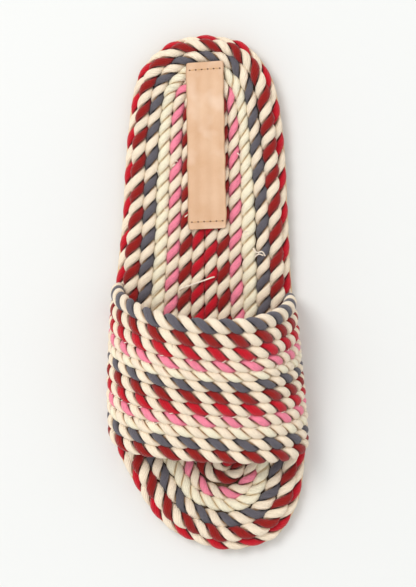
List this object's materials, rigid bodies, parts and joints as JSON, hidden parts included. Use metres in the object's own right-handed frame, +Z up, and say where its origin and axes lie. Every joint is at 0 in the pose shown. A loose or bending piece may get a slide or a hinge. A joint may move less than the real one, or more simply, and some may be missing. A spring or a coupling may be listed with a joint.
{
  "type": "rope slide sandal",
  "caption": "Flat slide sandal for the right foot with a coiled twisted-rope footbed, a wide rope band over the foot, a thin outsole, a low heel and a leather heel patch.",
  "frame": {"origin": "floor under the middle of the sandal's box", "axes": "+Y towards the toe, +X towards the outer side of the right foot, +Z up"},
  "size_m": [0.0954, 0.2494, 0.0655],
  "materials": {
    "outsole_tan": "thin tan sole sheet, matte, fine texture",
    "heel_brown": "stacked brown heel, satin edge",
    "core_board": "plain fibre core, hidden",
    "rope_red": "soft cotton strand, bright red",
    "rope_rust": "soft cotton strand, dark brick red",
    "rope_grey": "soft cotton strand, slate grey",
    "rope_cream": "soft cotton strand, cream",
    "rope_pink": "soft cotton strand, warm pink",
    "band_ropes": "twelve twisted two-colour cotton ropes side by side",
    "sewing_thread": "fine pale sewing thread",
    "patch_leather": "natural undyed leather, matte, fine grain, bare"
  },
  "bodies": {
    "root": {"outsole": "outsole_tan", "heel_lift": "heel_brown", "insole": "core_board", "edge_rope": "rope_red", "ring_rust": "rope_rust", "ring_grey": "rope_grey", "ring_cream": "rope_cream", "ring_pink": "rope_pink", "ring_dark_red": "rope_rust", "ring_core": "rope_red", "upper": "band_ropes", "heel_pad": "patch_leather"}
  },
  "joints": []
}
